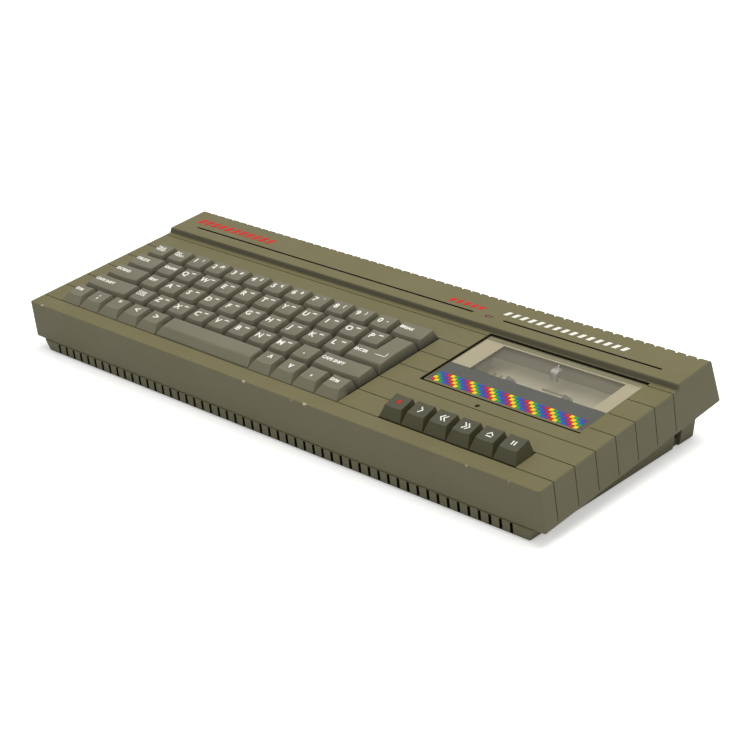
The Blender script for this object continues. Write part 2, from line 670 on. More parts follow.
def make_upper_case(shop, plastic):
    """The moulded top with its wells, ruled lines, ridge slots, rear fins and cut-outs."""
    outline = case_outline()
    case = shop.piece("upper_case", prism("upper_case", outline, -HALF_WIDTH, HALF_WIDTH), plastic)
    shop.round_edges(case, EDGE_RADIUS)
    inner = offset_path(outline, WALL)
    inner[0] = run_on(inner[1], inner[0], OVERRUN)
    inner[-1] = run_on(inner[-2], inner[-1], OVERRUN)
    shop.cut(case, prism("case_hollow", inner, WALL - HALF_WIDTH, HALF_WIDTH - WALL))

    well_left, well_right = FIELD_LEFT - KEY_WELL_MARGIN, FIELD_RIGHT + KEY_WELL_MARGIN
    lid_left = LID_WELL_LEFT - HALF_WIDTH
    depth, proud = -WALL - OVERRUN, OVERRUN
    shop.cut(case, blocks("wells", [
        ((well_left, KEY_FIELD_FRONT, depth), (well_right, FIELD_REAR, proud)),
        ((lid_left, LID_WELL_FRONT, depth),
         (lid_left + LID_WELL_WIDTH, LID_WELL_FRONT + LID_WELL_DEPTH, proud)),
        ((deck_key_left(0), DECK_KEY_FRONT, depth),
         (deck_key_left(DECK_KEY_COUNT), DECK_KEY_FRONT + DECK_KEY_DEPTH, proud)),
    ]))
    hole = (MICROPHONE_HOLE_FROM_LEFT - HALF_WIDTH, MICROPHONE_HOLE_SETBACK, 0)
    shop.cut(case, rods("microphone_hole", [hole], MICROPHONE_HOLE_RADIUS, depth, proud))

    lines = bmesh.new()
    reach, bottom = HALF_WIDTH + OVERRUN, -HALF_WIDTH + GROOVE_DEPTH
    for index in range(GROOVE_COUNT):
        middle = KEY_FIELD_FRONT + index * ROW_PITCH
        foot = underside_at(middle) + GROOVE_FOOT
        around = [(-reach, foot), (bottom, foot), (bottom, -GROOVE_DEPTH), (-bottom, -GROOVE_DEPTH),
                  (-bottom, foot), (reach, foot), (reach, proud), (-reach, proud)]
        add_prism(lines, around, middle - GROOVE_WIDTH / 2, middle + GROOVE_WIDTH / 2, "Y")
    shop.cut(case, finished(lines, "ruled_lines"))

    slot_front = RIDGE_FRONT + RIDGE_SLOT_SETBACK - RIDGE_SLOT_WIDTH / 2
    slot_spans = [(RIDGE_SLOT_END, RIDGE_SLOT_LEFT_END),
                  (RIDGE_SLOT_RIGHT_START, CASE_WIDTH - RIDGE_SLOT_END)]
    shop.cut(case, blocks("ridge_slots", [
        ((start - HALF_WIDTH, slot_front, RIDGE_RISE - RIDGE_SLOT_DEPTH),
         (end - HALF_WIDTH, slot_front + RIDGE_SLOT_WIDTH, RIDGE_RISE + OVERRUN))
        for start, end in slot_spans]))

    fins = bmesh.new()
    rear_slope = REAR_FACE_RUN / (REAR_DROP + RIDGE_RISE)
    low_y = RIDGE_REAR + rear_slope * (RIDGE_RISE + NOTCH_DROP)
    notch = [(RIDGE_REAR - NOTCH_DEPTH, RIDGE_RISE + OVERRUN), (low_y - NOTCH_DEPTH, -NOTCH_DROP),
             (low_y + OVERRUN, -NOTCH_DROP), (low_y + OVERRUN, RIDGE_RISE + OVERRUN)]
    for index in range(NOTCH_COUNT):
        middle = (index - (NOTCH_COUNT - 1) / 2) * NOTCH_PITCH
        add_prism(fins, notch, middle - NOTCH_WIDTH / 2, middle + NOTCH_WIDTH / 2)
    shop.cut(case, finished(fins, "rear_fins"))

    led = led_place()
    half = Vector((LED_WIDTH / 2 + SEAT_GAP, LED_THICKNESS / 2 + SEAT_GAP, OVERRUN))
    shop.cut(case, block("led_hole", led - half - Vector((0, 0, OVERRUN)), led + half))

    shop.cut(case, blocks("rear_cutouts", list(rear_cutouts())))
    shop.cut(case, blocks("side_cutouts", list(side_cutouts())))

    for index, place in enumerate(post_places()):
        bottom_z = underside_at(place[1]) + WALL + SEAT_GAP
        top_z = RIDGE_RISE - WALL / 2 if place[1] > RIDGE_FRONT else -WALL / 2
        shop.join(case, rods(f"post_{index}", [place], POST_RADIUS, bottom_z, top_z))
    return case


def led_place():
    """Middle of the power light's top, level with the ridge."""
    return Vector((LED_FROM_LEFT - HALF_WIDTH, RIDGE_FRONT + RIDGE_SLOT_SETBACK, RIDGE_RISE))


def rear_cutouts():
    """Openings of the rear wall for the sockets, as pairs of corners."""
    rear = CASE_REAR + OVERRUN
    front = RIDGE_REAR - WALL - OVERRUN
    board = -BOARD_DROP

    def opening(middle, width, height, base):
        return ((middle - width / 2 - CUTOUT_MARGIN, front, base - CUTOUT_MARGIN),
                (middle + width / 2 + CUTOUT_MARGIN, rear, base + height + CUTOUT_MARGIN))

    for middle in din_places():
        yield opening(middle, DIN_WIDTH, DIN_HEIGHT, board)
    yield opening(POWER_FROM_LEFT - HALF_WIDTH, POWER_SIDE, POWER_SIDE, board)
    yield opening(EDGE_SLOT_FROM_LEFT - HALF_WIDTH, EDGE_SLOT_WIDTH, EDGE_SLOT_HEIGHT,
                  board - EDGE_SLOT_BELOW)
    yield opening(MODULATOR_FROM_LEFT - HALF_WIDTH, 2 * MODULATOR_SOCKET_RADIUS,
                  2 * MODULATOR_SOCKET_RADIUS,
                  board + MODULATOR_SOCKET_LIFT - MODULATOR_SOCKET_RADIUS)


def side_cutouts():
    """Openings of the left wall for the joystick ports and the reset button."""
    outside, inside = -HALF_WIDTH - OVERRUN, -HALF_WIDTH + WALL + OVERRUN
    for middle in joystick_places():
        base = -BOARD_DROP
        half = JOYSTICK_LENGTH / 2 + CUTOUT_MARGIN
        yield ((outside, middle - half, base - CUTOUT_MARGIN),
               (inside, middle + half, base + JOYSTICK_HEIGHT + CUTOUT_MARGIN))
    half = RESET_SIZE / 2 + SEAT_GAP
    yield ((outside, RESET_SETBACK - half, -RESET_DROP - half),
           (inside, RESET_SETBACK + half, -RESET_DROP + half))


def frame_corners(margin):
    """Low and high corners of the keyboard frame, in plan, drawn in by a margin."""
    reach = FRAME_RIM_MARGIN - margin
    return ((FIELD_LEFT - reach, KEY_FIELD_FRONT - reach), (FIELD_RIGHT + reach, FIELD_REAR + reach))


def cap_insets(row):
    """How far the front of a key's top lies behind its foot, by row."""
    return CAP_EDGE_ROW_INSET if row == ROW_COUNT - 1 else CAP_FRONT_INSET


def cap_mesh(row, name, left, right, front, rear):
    """The mesh of one key, flat-topped for the space bar and dished for the others."""
    dish = 0 if name == "space" else CAP_DISH
    return key_cap(f"key_{name}", left, right, front, rear, cap_insets(row), dish)


def make_keyboard_frame(shop, plastic):
    """The moulded frame with a sleeve for each moving key, its rim, its pillars and two key rows."""
    (left, front), (right, rear) = frame_corners(0)
    plate_top, plate_base = -FRAME_TOP_DROP, -FRAME_TOP_DROP - FRAME_PLATE
    rim_top = -WALL - SEAT_GAP
    frame = shop.piece("keyboard_frame", block("keyboard_frame", (left, front, plate_base),
                                               (right, rear, rim_top)), plastic)
    (inner_left, inner_front), (inner_right, inner_rear) = frame_corners(FRAME_RIM_WALL)
    shop.cut(frame, block("frame_tray", (inner_left, inner_front, plate_top),
                          (inner_right, inner_rear, OVERRUN)))

    sleeves, holes, half = [], [], STEM_SIDE / 2 + GUIDE_CLEARANCE
    for row, _, key_left, key_right, key_front, key_rear in key_places():
        if row < FIXED_KEY_ROWS:
            continue
        x, y = (key_left + key_right) / 2, (key_front + key_rear) / 2
        reach = half + GUIDE_WALL
        sleeves.append(((x - reach, y - reach, plate_base - GUIDE_LENGTH),
                        (x + reach, y + reach, plate_base + FRAME_PLATE / 2)))
        holes.append(((x - half, y - half, plate_base - OVERRUN), (x + half, y + half, 0)))
    shop.join(frame, blocks("key_sleeves", sleeves))
    shop.cut(frame, blocks("sleeve_holes", holes))

    pillars, reach = [], PILLAR_SIDE / 2
    for column in (1, 2, 3):
        for line in (1, ROW_COUNT - 1):
            x = FIELD_LEFT + column * (FIELD_RIGHT - FIELD_LEFT) / 4
            y = KEY_FIELD_FRONT + line * ROW_PITCH
            pillars.append(((x - reach, y - reach, -MAT_TOP + SEAT_GAP),
                            (x + reach, y + reach, plate_base + FRAME_PLATE / 2)))
    shop.join(frame, blocks("mat_pillars", pillars))

    keys = bmesh.new()
    for place in key_places():
        if place[0] < FIXED_KEY_ROWS:
            mesh = cap_mesh(*place)
            keys.from_mesh(mesh)
            bpy.data.meshes.remove(mesh)
    shop.join(frame, finished(keys, "rear_key_rows"))
    return frame


def make_keys(shop, plastic):
    """The keys of the three front rows, each free to slide in its sleeve."""
    for place in key_places():
        row, name, left, right, front, rear = place
        if row < FIXED_KEY_ROWS:
            continue
        middle = ((left + right) / 2, (front + rear) / 2, 0)
        key = shop.piece(f"key_{name}", cap_mesh(*place), plastic, middle)
        if name == "enter":
            arm_left = right - ENTER_ARM_UNITS * KEY_PITCH + CAP_GAP
            arm_front, arm_rear = rear - CAP_FRONT_INSET, rear + ROW_PITCH
            base = (arm_left, arm_front, right, arm_rear)
            top = (arm_left + CAP_SIDE_INSET, arm_front, right - CAP_SIDE_INSET,
                   arm_rear - CAP_REAR_INSET)
            shop.join(key, tapered_block("enter_arm", base, top, lambda y: -CAP_SKIRT,
                                         lambda y: CAP_REAR_HEIGHT))


def make_key_mat(shop, rubber):
    """The contact mat under the keys, with a low dome below each stem."""
    sheet_low = Vector((FIELD_LEFT + MAT_INSET, KEY_FIELD_FRONT + MAT_INSET, -MAT_TOP - MAT_THICKNESS))
    sheet_high = Vector((FIELD_RIGHT - MAT_INSET, FIELD_REAR - MAT_INSET, -MAT_TOP))
    mat = shop.piece("key_mat", block("key_mat", sheet_low, sheet_high), rubber)
    domes, half = [], DOME_SIDE / 2
    for _, _, left, right, front, rear in key_places():
        x, y = (left + right) / 2, (front + rear) / 2
        domes.append(((x - half, y - half, -MAT_TOP - MAT_THICKNESS / 2),
                      (x + half, y + half, -MAT_TOP + DOME_HEIGHT)))
    shop.join(mat, blocks("domes", domes))


def make_main_board(shop, resin):
    """The circuit board with its sockets, its chips and the tongue of the expansion slot."""
    top, base = -BOARD_DROP, -BOARD_DROP - BOARD_THICKNESS
    left, right = BOARD_LEFT - HALF_WIDTH, BOARD_RIGHT - HALF_WIDTH
    rear = rear_wall_inside(0) - BOARD_REAR_GAP
    board = shop.piece("main_board", block("main_board", (left, BOARD_FRONT, base),
                                           (right, rear, top)), resin)
    slot = EDGE_SLOT_FROM_LEFT - HALF_WIDTH
    sink = top - BOARD_THICKNESS / 2
    mounted = [((slot - EDGE_TONGUE_WIDTH / 2, rear - OVERRUN, base),
                (slot + EDGE_TONGUE_WIDTH / 2, rear_wall_inside(base) - SOCKET_GAP, top))]
    for middle in din_places():
        mounted.append(((middle - DIN_WIDTH / 2, rear - DIN_DEPTH, sink),
                        (middle + DIN_WIDTH / 2, rear_wall_inside(top + DIN_HEIGHT) - SOCKET_GAP,
                         top + DIN_HEIGHT)))
    power = POWER_FROM_LEFT - HALF_WIDTH
    mounted.append(((power - POWER_SIDE / 2, rear - DIN_DEPTH, sink),
                    (power + POWER_SIDE / 2, rear_wall_inside(top + POWER_SIDE) - SOCKET_GAP,
                     top + POWER_SIDE)))
    port_left = WALL + SOCKET_GAP - HALF_WIDTH
    for middle in joystick_places():
        mounted.append(((port_left, middle - JOYSTICK_LENGTH / 2, sink),
                        (port_left + JOYSTICK_DEPTH, middle + JOYSTICK_LENGTH / 2,
                         top + JOYSTICK_HEIGHT)))
    for index in range(CHIP_COUNT):
        start = left + CHIP_WIDTH + index * CHIP_PITCH
        mounted.append(((start, CHIP_SETBACK, sink),
                        (start + CHIP_LENGTH, CHIP_SETBACK + CHIP_WIDTH, top + CHIP_HEIGHT)))
    shop.join(board, blocks("sockets_and_chips", mounted))
    shop.cut(board, rods("post_bites", post_places(), POST_RADIUS + SOCKET_GAP, base - OVERRUN,
                         top + OVERRUN))

    power_place = (power, 0, top + POWER_SIDE / 2)
    shop.cut(board, rods("power_bore", [power_place], POWER_BORE_RADIUS, rear - DIN_DEPTH / 2,
                         rear + OVERRUN, "Y"))
    din_faces = [(middle, 0, top + DIN_HEIGHT / 2) for middle in din_places()]
    face = rear_wall_inside(top + DIN_HEIGHT) - SOCKET_GAP
    shop.cut(board, rods("round_socket_faces", din_faces, DIN_FACE_RADIUS, face - DIN_FACE_DEPTH,
                         face + OVERRUN, "Y", ROUND_SEGMENTS))
    ports = []
    for middle in joystick_places():
        height = top + JOYSTICK_HEIGHT / 2
        ports.append(((port_left - OVERRUN, middle - JOYSTICK_BORE_LENGTH / 2,
                       height - JOYSTICK_BORE_HEIGHT / 2),
                      (port_left + JOYSTICK_BORE_DEPTH, middle + JOYSTICK_BORE_LENGTH / 2,
                       height + JOYSTICK_BORE_HEIGHT / 2)))
    shop.cut(board, blocks("joystick_ports", ports))


def make_modulator(shop, metal):
    """The screened television modulator with its round aerial socket."""
    middle = MODULATOR_FROM_LEFT - HALF_WIDTH
    base = -BOARD_DROP + SEAT_GAP
    rear = rear_wall_inside(base + MODULATOR_HEIGHT) - SOCKET_GAP
    can = shop.piece("tv_modulator", block("tv_modulator",
                                           (middle - MODULATOR_WIDTH / 2, rear - MODULATOR_DEPTH, base),
                                           (middle + MODULATOR_WIDTH / 2, rear, base + MODULATOR_HEIGHT)),
                     metal)
    place = (middle, 0, -BOARD_DROP + MODULATOR_SOCKET_LIFT)
    shop.join(can, rods("aerial_socket", [place], MODULATOR_SOCKET_RADIUS, rear - OVERRUN,
                        CASE_REAR - WALL, "Y"))


def make_power_led(shop, lens):
    """The small oblong power light, level with the ridge."""
    top = led_place()
    half = Vector((LED_WIDTH / 2, LED_THICKNESS / 2, 0))
    shop.piece("power_led", block("power_led", top - half - Vector((0, 0, LED_HEIGHT)), top + half), lens)


def make_reset_button(shop, plastic):
    """The reset button in the left wall, kept in by a collar behind it."""
    outside = RESET_INSET - HALF_WIDTH
    half = RESET_SIZE / 2
    collar = half + RESET_COLLAR_WIDTH
    collar_left = WALL + SEAT_GAP - HALF_WIDTH
    middle = (outside, RESET_SETBACK, -RESET_DROP)
    button = shop.piece("reset_button", block(
        "reset_button", (outside, RESET_SETBACK - half, -RESET_DROP - half),
        (outside + RESET_LENGTH, RESET_SETBACK + half, -RESET_DROP + half)), plastic, middle)
    shop.join(button, block("reset_collar",
                            (collar_left, RESET_SETBACK - collar, -RESET_DROP - collar),
                            (collar_left + RESET_COLLAR, RESET_SETBACK + collar, -RESET_DROP + collar)))


def make_lower_case(shop, plastic):
    """The base tray with its slotted front, standoffs, screw bosses, rear legs and feet."""
    top_half, base_half = HALF_WIDTH - TRAY_INSET_TOP, HALF_WIDTH - TRAY_INSET_BASE
    rear = CASE_REAR - TRAY_REAR_SETBACK
    top = (-top_half, TRAY_FRONT_SETBACK, top_half, rear)
    base = (-base_half, TRAY_FRONT_SETBACK, base_half, rear)

    def tray_top(setback):
        """The tray meets the upper case just below its lower edge."""
        return underside_at(setback) - SEAT_GAP

    case = shop.piece("lower_case", tapered_block(
        "lower_case", base, top, lambda y: floor_at(y, TRAY_CLEARANCE), tray_top), plastic)
    inner = offset_path(case_outline(), WALL + SEAT_GAP)
    front_inside, rear_inside = inner[0][0], rear_wall_inside(-REAR_DROP + WALL) - SEAT_GAP
    flange = [(front_inside, tray_top(front_inside) - SEAT_GAP),
              (rear_inside, tray_top(rear_inside) - SEAT_GAP),
              (rear_inside, underside_at(rear_inside) + WALL),
              (front_inside, underside_at(front_inside) + WALL)]
    flange_half = HALF_WIDTH - WALL - SEAT_GAP
    shop.join(case, prism("flange", flange, -flange_half, flange_half))
    hollow_top = (WALL - top_half, front_inside + WALL, top_half - WALL, rear - WALL)
    hollow_base = (WALL - base_half, front_inside + WALL, base_half - WALL, rear - WALL)
    shop.cut(case, tapered_block("tray_hollow", hollow_base, hollow_top,
                                 lambda y: floor_at(y, TRAY_CLEARANCE + WALL),
                                 lambda y: underside_at(y) + WALL + OVERRUN))

    slots = []
    for index in range(SLOT_COUNT):
        middle = (index - (SLOT_COUNT - 1) / 2) * SLOT_PITCH
        slots.append(((middle - SLOT_WIDTH / 2, TRAY_FRONT_SETBACK - OVERRUN,
                       floor_at(0, -TRAY_CLEARANCE)),
                      (middle + SLOT_WIDTH / 2, front_inside + WALL + OVERRUN,
                       -FRONT_DROP - SLOT_TOP_GAP)))
    shop.cut(case, blocks("front_slots", slots))

    notches = []
    for side in (-1, 1):
        edges = sorted((side * (HALF_WIDTH + OVERRUN), side * (top_half - LEG_NOTCH_DEPTH)))
        notch_rear = rear - LEG_NOTCH_SETBACK
        notches.append(((edges[0], notch_rear - LEG_NOTCH_WIDTH, floor_at(notch_rear, -TRAY_CLEARANCE)),
                        (edges[1], notch_rear, underside_at(notch_rear) - WALL)))
    shop.cut(case, blocks("leg_notches", notches))

    bosses = bmesh.new()
    for x, y, _ in post_places():
        add_rod(bosses, (x, y), POST_RADIUS, floor_at(y, TRAY_CLEARANCE + WALL / 2),
                underside_at(y) + WALL)
    for x, y in standoff_places():
        carried = CHASSIS_BASE if x > FIELD_RIGHT else -BOARD_DROP - BOARD_THICKNESS
        add_rod(bosses, (x, y), POST_RADIUS, floor_at(y, TRAY_CLEARANCE + WALL / 2), carried - SEAT_GAP)
    shop.join(case, finished(bosses, "screw_bosses"))

    for side in (-1, 1):
        for foot_front in (TRAY_FRONT_SETBACK + FOOT_MARGIN, rear - FOOT_MARGIN - FOOT_SIDE):
            edges = sorted((side * (base_half - FOOT_MARGIN), side * (base_half - FOOT_MARGIN - FOOT_SIDE)))
            plan = (edges[0], foot_front, edges[1], foot_front + FOOT_SIDE)
            shop.join(case, tapered_block("foot", plan, plan, lambda y: floor_at(y, 0),
                                          lambda y: floor_at(y, TRAY_CLEARANCE + WALL / 2)))


def add_rod(bm, place, radius, start, end):
    """Add an upright round bar between two heights."""
    middle = Vector((*place, (start + end) / 2))
    bmesh.ops.create_cone(bm, cap_ends=True, segments=SMALL_SEGMENTS, radius1=radius, radius2=radius,
                          depth=end - start, matrix=Matrix.Translation(middle))


def standoff_places():
    """Middles of the bosses that carry the main board and the deck chassis."""
    board_left, board_right = BOARD_LEFT - HALF_WIDTH, BOARD_RIGHT - HALF_WIDTH
    inset = 2 * POST_RADIUS
    for x in (board_left + inset, board_right - inset):
        for y in (BOARD_FRONT + inset, RIDGE_FRONT + inset):
            yield x, y
    for x in (CHASSIS_LEFT + inset, CHASSIS_RIGHT - inset):
        for y in (CHASSIS_FRONT + inset, CHASSIS_REAR - inset):
            yield x, y


def spindle_places():
    """Middles of the supply and take-up spindles."""
    return [(LID_MIDDLE + side * SPINDLE_SPACING / 2, SPINDLE_SETBACK) for side in (-1, 1)]


def capstan_place():
    """Middle of the capstan and flywheel."""
    return (LID_MIDDLE + CAPSTAN_OFFSET, CAPSTAN_SETBACK)


def motor_place():
    """Middle of the motor and its pulley."""
    return (LID_MIDDLE + MOTOR_OFFSET, MOTOR_SETBACK)


def belt_levels():
    """Top and base of the flywheel, pulley and belt."""
    top = CHASSIS_BASE - FLYWHEEL_GAP
    return top, top - FLYWHEEL_THICKNESS


def bracket_levels():
    """Top and base of the motor's bracket below the pulley."""
    top = belt_levels()[1] - MOTOR_BRACKET_GAP
    return top, top - MOTOR_BRACKET


def make_deck_chassis(shop, metal):
    """The deck's floor plate with ears for the lid and the keys, bearings and the motor's bracket."""
    top = -CHASSIS_DROP
    chassis = shop.piece("deck_chassis", block("deck_chassis", (CHASSIS_LEFT, CHASSIS_FRONT, CHASSIS_BASE),
                                               (CHASSIS_RIGHT, CHASSIS_REAR, top)), metal)
    sink = top - CHASSIS_PLATE / 2
    ear_top = -WALL - SEAT_GAP
    ears = []
    for outer in (CHASSIS_LEFT, CHASSIS_RIGHT - EAR_THICKNESS):
        ears.append(((outer, LID_PIVOT.y - EAR_HALF_DEPTH, sink),
                     (outer + EAR_THICKNESS, LID_PIVOT.y + EAR_HALF_DEPTH, ear_top)))
    for outer in key_ear_places():
        ears.append(((outer, KEY_SHAFT.y - EAR_HALF_DEPTH, sink),
                     (outer + EAR_THICKNESS, KEY_SHAFT.y + EAR_HALF_DEPTH, ear_top)))
    shop.join(chassis, blocks("ears", ears))

    x, y = motor_place()
    half = MOTOR_RADIUS + MOTOR_BRACKET_MARGIN
    bracket_top, bracket_base = bracket_levels()
    hanger = [((x - half, y - half, bracket_base), (x + half, y + half, bracket_top))]
    webs = [((x - half, y + half - MOTOR_WEB, bracket_top - MOTOR_BRACKET / 2),
             (x + half, y + half, sink))]
    shop.join(chassis, blocks("motor_web", webs))
    shop.join(chassis, blocks("motor_bracket", hanger))

    clear = RUNNING_CLEARANCE
    low, high = bracket_base - OVERRUN, top + OVERRUN
    shop.cut(chassis, rods("bearings", [(*capstan_place(), 0)] + [(*p, 0) for p in spindle_places()],
                           CAPSTAN_RADIUS + clear, low, high))
    shop.cut(chassis, rods("motor_shaft_hole", [(x, y, 0)], MOTOR_SHAFT_RADIUS + SEAT_GAP, low,
                           bracket_top + OVERRUN / 2))
    shop.cut(chassis, rods("lid_pin_holes", [LID_PIVOT], LID_PIN_RADIUS + clear,
                           CHASSIS_LEFT - OVERRUN, CHASSIS_RIGHT + OVERRUN, "X"))
    shop.cut(chassis, rods("key_shaft_holes", [KEY_SHAFT], KEY_SHAFT_RADIUS + clear,
                           CHASSIS_LEFT - OVERRUN, CHASSIS_RIGHT + OVERRUN, "X"))


def key_ear_places():
    """Left faces of the two ears that hold the deck keys' shaft."""
    return (deck_key_left(0) - KEY_EAR_GAP - EAR_THICKNESS,
            deck_key_left(DECK_KEY_COUNT) + KEY_EAR_GAP)


def make_deck_key_shaft(shop, metal):
    """The fixed shaft that the deck keys swing on."""
    left, right = key_ear_places()
    shop.piece("deck_key_shaft", rods("deck_key_shaft", [KEY_SHAFT], KEY_SHAFT_RADIUS, left,
                                      right + EAR_THICKNESS, "X"), metal)


def make_deck_keys(shop, plastic):
    """The six piano keys of the deck, each with its lever, hub and finger."""
    for index, name in enumerate(DECK_KEY_NAMES):
        left = deck_key_left(index) + DECK_KEY_GAP / 2
        right = left + DECK_KEY_PITCH - DECK_KEY_GAP
        middle = (left + right) / 2
        front = DECK_KEY_FRONT + DECK_KEY_FRONT_GAP
        rear = DECK_KEY_FRONT + DECK_KEY_DEPTH - CAP_GAP
        base = (left, front, right, rear)
        key = shop.piece(f"deck_key_{name}", deck_key_cap(f"deck_key_{name}", base), plastic,
                         (middle, KEY_SHAFT.y, KEY_SHAFT.z))
        half = KEY_LEVER_WIDTH / 2
        lever_top = KEY_SHAFT.z + KEY_HUB_RADIUS
        shop.join(key, block("lever", (middle - half, rear - OVERRUN, lever_top - KEY_LEVER_HEIGHT),
                             (middle + half, KEY_SHAFT.y, lever_top)))
        shop.join(key, rods("hub", [KEY_SHAFT], KEY_HUB_RADIUS, middle - half, middle + half, "X"))
        finger = KEY_FINGER_THICKNESS / 2
        shop.join(key, block("finger", (middle - finger, KEY_SHAFT.y - finger,
                                        KEY_SHAFT.z - KEY_FINGER_LENGTH),
                             (middle + finger, KEY_SHAFT.y + finger, KEY_SHAFT.z)))
        shop.cut(key, rods("shaft_bore", [KEY_SHAFT], KEY_SHAFT_RADIUS + KEY_HUB_CLEARANCE,
                           left - OVERRUN, right + OVERRUN, "X"))


def deck_key_cap(name, base):
    """The wedge-shaped cap of a deck key with a dished top, on a plain skirt."""
    left, front, right, rear = base
    bm = bmesh.new()
    drop = CAP_DISH
    top_left, top_right = left + DECK_KEY_SIDE_INSET, right - DECK_KEY_SIDE_INSET

    def edge_points(base_y, inset, height):
        """Points across one edge of the top, on the slope of the face below it."""
        points = []
        for step in range(CAP_DISH_FACETS + 1):
            share = 2 * step / CAP_DISH_FACETS - 1
            z = height - drop * (1 - share * share)
            x = top_left + (top_right - top_left) * (share + 1) / 2
            points.append(bm.verts.new((x, base_y + inset * z / height, z)))
        return points

    front_edge = edge_points(front, DECK_KEY_FRONT_INSET, DECK_KEY_FRONT_HEIGHT)
    rear_edge = edge_points(rear, -DECK_KEY_REAR_INSET, DECK_KEY_REAR_HEIGHT)
    plan = [(left, front), (right, front), (right, rear), (left, rear)]
    ring = [bm.verts.new((x, y, 0)) for x, y in plan]
    foot = [bm.verts.new((x, y, -DECK_KEY_SKIRT)) for x, y in plan]
    for (a, b), (c, d) in zip(zip(front_edge, front_edge[1:]), zip(rear_edge, rear_edge[1:])):
        bm.faces.new((a, b, d, c))
    bm.faces.new([ring[0], ring[1]] + front_edge[::-1])
    bm.faces.new([ring[2], ring[3]] + rear_edge)
    bm.faces.new((ring[3], ring[0], front_edge[0], rear_edge[0]))
    bm.faces.new((ring[1], ring[2], rear_edge[-1], front_edge[-1]))
    for corner in range(4):
        after = (corner + 1) % 4
        bm.faces.new((ring[corner], ring[after], foot[after], foot[corner]))
    bm.faces.new(foot)
    return finished(bm, name)


def make_cassette_lid(shop, plastic):
    """The lid's frame and front panel with the two cheeks that hold a cassette, and its pins."""
    lid = shop.piece("cassette_lid", block("cassette_lid", (LID_LEFT, LID_FRONT, LID_UNDERSIDE),
                                           (LID_RIGHT, LID_REAR, -LID_SINK)), plastic, LID_PIVOT)
    shop.cut(lid, block("window_opening", *window_corners(0, OVERRUN)))
    cheek_base = LID_UNDERSIDE - CHEEK_DEPTH
    front = LID_FRONT + CHEEK_FRONT_GAP
    tail = LID_PIVOT.y + CHEEK_TAIL
    inside, below = LID_UNDERSIDE + LID_THICKNESS / 2, LID_UNDERSIDE - SEAT_GAP
    panel_rear = LID_FRONT + LID_FRONT_PANEL - WINDOW_CLEARANCE
    profile = [(front, inside), (front, cheek_base), (tail - CHEEK_CHAMFER, cheek_base),
               (tail, cheek_base + CHEEK_TAIL_DEPTH), (tail, below), (panel_rear, below),
               (panel_rear, inside)]
    for side, edge in ((1, LID_LEFT), (-1, LID_RIGHT)):
        outer = edge + side * CHEEK_INSET
        inner = outer + side * CHEEK_WALL
        shop.join(lid, prism("cheek", profile, min(outer, inner), max(outer, inner)))
        lip = inner + side * CHEEK_LIP
        shop.join(lid, block("cheek_lip", (min(outer, lip), front, cheek_base),
                             (max(outer, lip), tail - CHEEK_CHAMFER, cheek_base + CHEEK_LIP_THICKNESS)))
        pin_end = CHASSIS_LEFT if side > 0 else CHASSIS_RIGHT
        middle = (outer + inner) / 2
        shop.join(lid, rods("lid_pin", [LID_PIVOT], LID_PIN_RADIUS, min(pin_end, middle),
                            max(pin_end, middle), "X"))


def window_corners(clearance, over):
    """Corners of the window's place in the lid, drawn in by a clearance."""
    return ((LID_LEFT + LID_RIM + clearance, LID_FRONT + LID_FRONT_PANEL + clearance,
             LID_UNDERSIDE - over),
            (LID_RIGHT - LID_RIM - clearance, LID_REAR - LID_RIM - clearance, -LID_SINK + over))


def make_lid_window(shop, clear):
    """The clear window set into the lid."""
    shop.piece("lid_window", block("lid_window", *window_corners(WINDOW_CLEARANCE, 0)), clear, LID_PIVOT)


def make_lid_spring(shop, metal):
    """The leaf under the lid's rear rim that presses on a cassette."""
    top = LID_UNDERSIDE - SEAT_GAP
    rear = LID_PIVOT.y + CHEEK_TAIL
    path = [(rear, top), (rear - SPRING_RUN, top),
            (rear - SPRING_RUN - SPRING_DEPTH / 3, top - SPRING_DEPTH)]
    below = offset_path(path, -SPRING_THICKNESS)
    shop.piece("lid_spring", prism("lid_spring", path + below[::-1], LID_MIDDLE - SPRING_WIDTH / 2,
                                   LID_MIDDLE + SPRING_WIDTH / 2), metal, LID_PIVOT)


def make_spindles(shop, plastic):
    """The supply and take-up spindles, each with a reel table and three driving fins."""
    plate, seat = -CHASSIS_DROP, SEAT_GAP
    reel_top = plate + seat + SPINDLE_REEL_HEIGHT
    for name, (x, y) in zip(("supply_spindle", "takeup_spindle"), spindle_places()):
        profile = [(0, -SPINDLE_TOP_DROP), (SPINDLE_SHAFT_RADIUS, -SPINDLE_TOP_DROP),
                   (SPINDLE_BODY_RADIUS, -SPINDLE_TOP_DROP - SPINDLE_BODY_RADIUS),
                   (SPINDLE_BODY_RADIUS, reel_top), (SPINDLE_REEL_RADIUS, reel_top),
                   (SPINDLE_REEL_RADIUS, plate + seat), (SPINDLE_SHAFT_RADIUS, plate + seat),
                   (SPINDLE_SHAFT_RADIUS, CHASSIS_BASE - seat), (0, CHASSIS_BASE - seat)]
        spindle = turned(shop, name, profile, plastic, (x, y, 0))
        for turn in range(SPINDLE_FIN_COUNT):
            fin = bmesh.new()
            add_block(fin, (0, -SPINDLE_FIN_WIDTH / 2, reel_top - SPINDLE_REEL_HEIGHT / 2),
                      (SPINDLE_FIN, SPINDLE_FIN_WIDTH / 2, -SPINDLE_TOP_DROP - SPINDLE_BODY_RADIUS))
            angle = Matrix.Rotation(turn * math.tau / SPINDLE_FIN_COUNT, 4, "Z")
            fin.transform(Matrix.Translation((x, y, 0)) @ angle)
            shop.join(spindle, finished(fin, "fin"))


